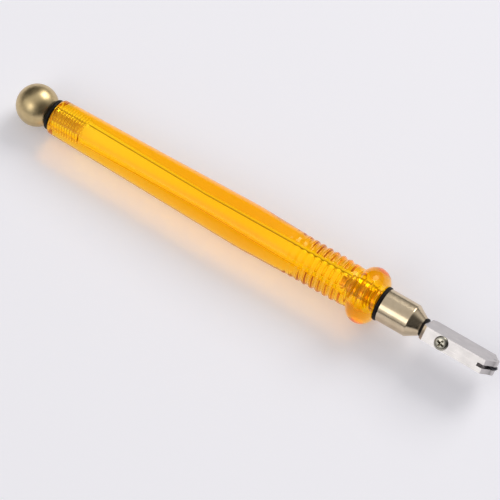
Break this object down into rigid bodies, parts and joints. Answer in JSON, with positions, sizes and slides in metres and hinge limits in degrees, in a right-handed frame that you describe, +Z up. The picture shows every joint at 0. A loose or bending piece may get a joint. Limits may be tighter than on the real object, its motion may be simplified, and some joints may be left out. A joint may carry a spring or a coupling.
{
  "type": "glass cutter",
  "caption": "Pencil-grip oil-fed glass cutter: amber ribbed handle, ball filler cap, metal ferrule and flat head with a cutting wheel.",
  "frame": {"origin": "on the tool's axis, halfway between the rear of the end ball and the front of the cutting wheel", "axes": "+X along the tool towards the cutting wheel, +Z up as the tool lies on a bench. The head is turned 41 degrees about +X, so the lock screw points to (0, -0.656, 0.755) and the wheel's axle lies along (0, 0.755, 0.656)"},
  "size_m": [0.1796, 0.019, 0.019],
  "materials": {
    "amber_plastic": "clear polished amber acrylic",
    "champagne_metal": "satin champagne nickel plate on brass",
    "head_steel": "satin nickel plate with ground faces",
    "screw_steel": "bright plated steel",
    "carbide": "dark sintered carbide, ground edge",
    "black_rubber": "matt moulded nitrile",
    "copper_bush": "turned copper alloy",
    "stem_brass": "turned brass",
    "spring_steel": "drawn spring wire"
  },
  "bodies": {
    "handle": {"handle_barrel": "amber_plastic", "front_gasket": "black_rubber", "ferrule": "champagne_metal", "nose_o_ring": "black_rubber", "stem_o_ring": "black_rubber", "valve_seat": "copper_bush", "return_spring": "spring_steel"},
    "stem": {"valve_stem": "stem_brass", "spring_washer": "spring_steel", "stem_clip": "spring_steel", "valve_seal": "black_rubber", "seal_washer": "spring_steel", "seal_nut": "stem_brass"},
    "head": {"cutter_head": "head_steel", "wheel_axle": "head_steel"},
    "screw": {"lock_screw": "screw_steel"},
    "wheel": {"cutting_wheel": "carbide"},
    "cap_ring": {"rear_o_ring": "black_rubber"},
    "cap": {"end_ball": "champagne_metal", "cap_stud": "champagne_metal"}
  },
  "joints": [
    {"name": "head_press", "type": "slide", "parent": "handle", "child": "stem", "axis": [-1, 0, 0], "range_m": [0, 0.0005], "stiffness_N_per_m": 1500, "springref_m": -0.002, "deforming": ["return_spring", "nose_o_ring"]},
    {"name": "head_swivel", "type": "hinge", "parent": "stem", "child": "head", "pos_m": [0.064, 0, 0], "axis": [1, 0, 0], "range_deg": [-10, 10]},
    {"name": "wheel_spin", "type": "hinge", "parent": "head", "child": "wheel", "pos_m": [0.08778, 0, 0], "axis": [0, 0.7547, 0.6561], "continuous": true},
    {"name": "lock_screw_turn", "type": "hinge", "parent": "head", "child": "screw", "pos_m": [0.07148, -0.00361, 0.00415], "axis": [0, -0.6561, 0.7547], "range_deg": [0, 360]},
    {"name": "cap_lift", "type": "slide", "parent": "handle", "child": "cap_ring", "axis": [-1, 0, 0], "range_m": [0, 0.01]},
    {"name": "cap_turn", "type": "hinge", "parent": "cap_ring", "child": "cap", "pos_m": [-0.0762, 0, 0], "axis": [-1, 0, 0], "range_deg": [0, 3600]}
  ],
  "couplings": [
    {"joint": "cap_lift", "follows": "cap_turn", "m_per_rad": 0.00015915}
  ]
}
